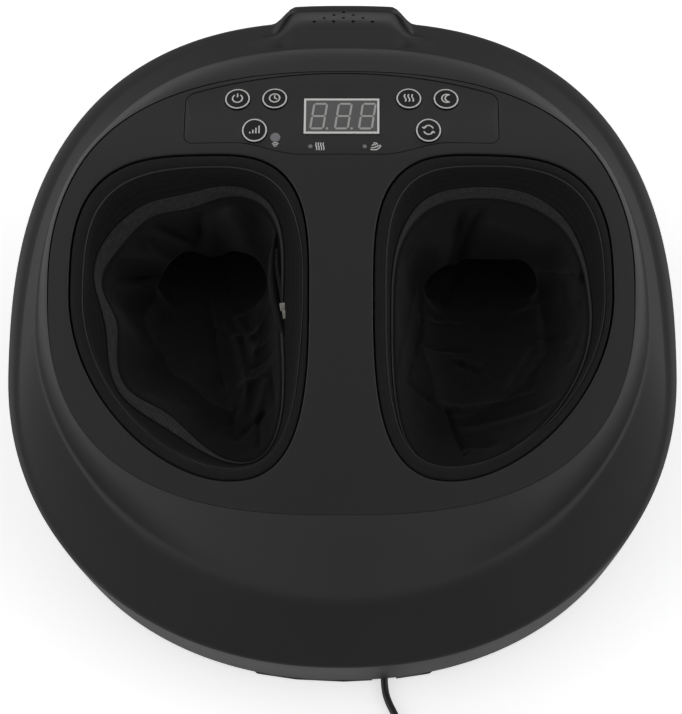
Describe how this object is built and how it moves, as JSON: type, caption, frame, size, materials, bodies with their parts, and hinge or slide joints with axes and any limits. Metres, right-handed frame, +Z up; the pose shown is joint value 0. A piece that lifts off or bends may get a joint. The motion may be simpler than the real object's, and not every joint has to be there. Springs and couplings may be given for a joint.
{
  "type": "foot massager",
  "caption": "Rounded domed foot massager with two fabric-lined foot wells, a curved control panel with round buttons and a display, kneading discs and a lead.",
  "frame": {"origin": "middle of the footprint's bounding box at floor level, without the lead and its power supply", "axes": "+Z up, +X to the user's right, +Y away from the user, towards the toes and the control panel"},
  "size_m": [0.4176, 0.5118, 0.1811],
  "materials": {
    "shell_plastic": "satin black, finely grained",
    "panel_plastic": "smooth black, soft sheen",
    "button_rubber": "matte black with pale ring and symbol",
    "window_acrylic": "grey smoked window",
    "inner_plastic": "natural moulding",
    "gear_plastic": "acetal",
    "foot_rubber": "matte",
    "collar_fabric": "black woven binding",
    "liner_cloth": "black stretch cloth",
    "zinc_steel": "zinc plated",
    "board_laminate": "green laminate",
    "air_vinyl": "dark vinyl",
    "heater_film": "amber film",
    "cord_vinyl": "black vinyl"
  },
  "bodies": {
    "housing": {"adapter_pin_1": "zinc_steel", "adapter_pin_2": "zinc_steel", "air_lamp_lens": "window_acrylic", "air_pump": "inner_plastic", "base_screw_1": "zinc_steel", "base_screw_2": "zinc_steel", "base_screw_3": "zinc_steel", "base_screw_4": "zinc_steel", "base_screw_5": "zinc_steel", "base_screw_6": "zinc_steel", "base_tray": "shell_plastic", "coil_tie": "cord_vinyl", "control_board": "board_laminate", "control_panel": "panel_plastic", "cord_coil": "cord_vinyl", "cord_gland": "cord_vinyl", "cord_lead": "cord_vinyl", "display_module": "inner_plastic", "display_window": "window_acrylic", "heat_lamp_lens": "window_acrylic", "kneading_motor": "zinc_steel", "left_air_cell": "air_vinyl", "left_air_hose": "cord_vinyl", "left_chamber": "inner_plastic", "left_collar": "collar_fabric", "left_far_foot": "foot_rubber", "left_gear_case": "inner_plastic", "left_gear_cover": "inner_plastic", "left_liner": "liner_cloth", "left_near_foot": "foot_rubber", "left_sole_heater": "heater_film", "main_board": "board_laminate", "outer_shell": "shell_plastic", "power_adapter": "shell_plastic", "receiver_window": "window_acrylic", "right_air_cell": "air_vinyl", "right_air_hose": "cord_vinyl", "right_chamber": "inner_plastic", "right_collar": "collar_fabric", "right_far_foot": "foot_rubber", "right_gear_case": "inner_plastic", "right_gear_cover": "inner_plastic", "right_liner": "liner_cloth", "right_near_foot": "foot_rubber", "right_sole_heater": "heater_film", "top_cover": "shell_plastic", "valve_block": "inner_plastic"},
    "power_button": {"power_button": "button_rubber"},
    "timer_button": {"timer_button": "button_rubber"},
    "heating_button": {"heating_button": "button_rubber"},
    "relax_button": {"relax_button": "button_rubber"},
    "intensity_button": {"intensity_button": "button_rubber"},
    "mode_button": {"mode_button": "button_rubber"},
    "left_disc": {"left_kneading_disc": "gear_plastic", "left_drive_wheel": "gear_plastic"},
    "right_disc": {"right_kneading_disc": "gear_plastic", "right_drive_wheel": "gear_plastic"},
    "worm_shaft": {"worm_shaft": "zinc_steel"}
  },
  "joints": [
    {"name": "power_press", "type": "slide", "parent": "housing", "child": "power_button", "axis": [0.0301, -0.175, -0.9841], "range_m": [0, 0.0008], "stiffness_N_per_m": 400},
    {"name": "timer_press", "type": "slide", "parent": "housing", "child": "timer_button", "axis": [0.0193, -0.1751, -0.9844], "range_m": [0, 0.0008], "stiffness_N_per_m": 400},
    {"name": "heating_press", "type": "slide", "parent": "housing", "child": "heating_button", "axis": [-0.0193, -0.1751, -0.9844], "range_m": [0, 0.0008], "stiffness_N_per_m": 400},
    {"name": "relax_press", "type": "slide", "parent": "housing", "child": "relax_button", "axis": [-0.0301, -0.175, -0.9841], "range_m": [0, 0.0008], "stiffness_N_per_m": 400},
    {"name": "intensity_press", "type": "slide", "parent": "housing", "child": "intensity_button", "axis": [0.0253, 0.0515, -0.9984], "range_m": [0, 0.0008], "stiffness_N_per_m": 400},
    {"name": "mode_press", "type": "slide", "parent": "housing", "child": "mode_button", "axis": [-0.0253, 0.0515, -0.9984], "range_m": [0, 0.0008], "stiffness_N_per_m": 400},
    {"name": "left_disc_spin", "type": "hinge", "parent": "housing", "child": "left_disc", "pos_m": [-0.086, 0.005, 0.0455], "axis": [0, 0, 1], "continuous": true},
    {"name": "right_disc_spin", "type": "hinge", "parent": "housing", "child": "right_disc", "pos_m": [0.086, 0.005, 0.0455], "axis": [0, 0, 1], "continuous": true},
    {"name": "shaft_spin", "type": "hinge", "parent": "housing", "child": "worm_shaft", "pos_m": [0, -0.0245, 0.02215], "axis": [1, 0, 0], "continuous": true}
  ],
  "couplings": [
    {"joint": "right_disc_spin", "follows": "left_disc_spin", "ratio": -1},
    {"joint": "shaft_spin", "follows": "left_disc_spin", "ratio": -30}
  ]
}
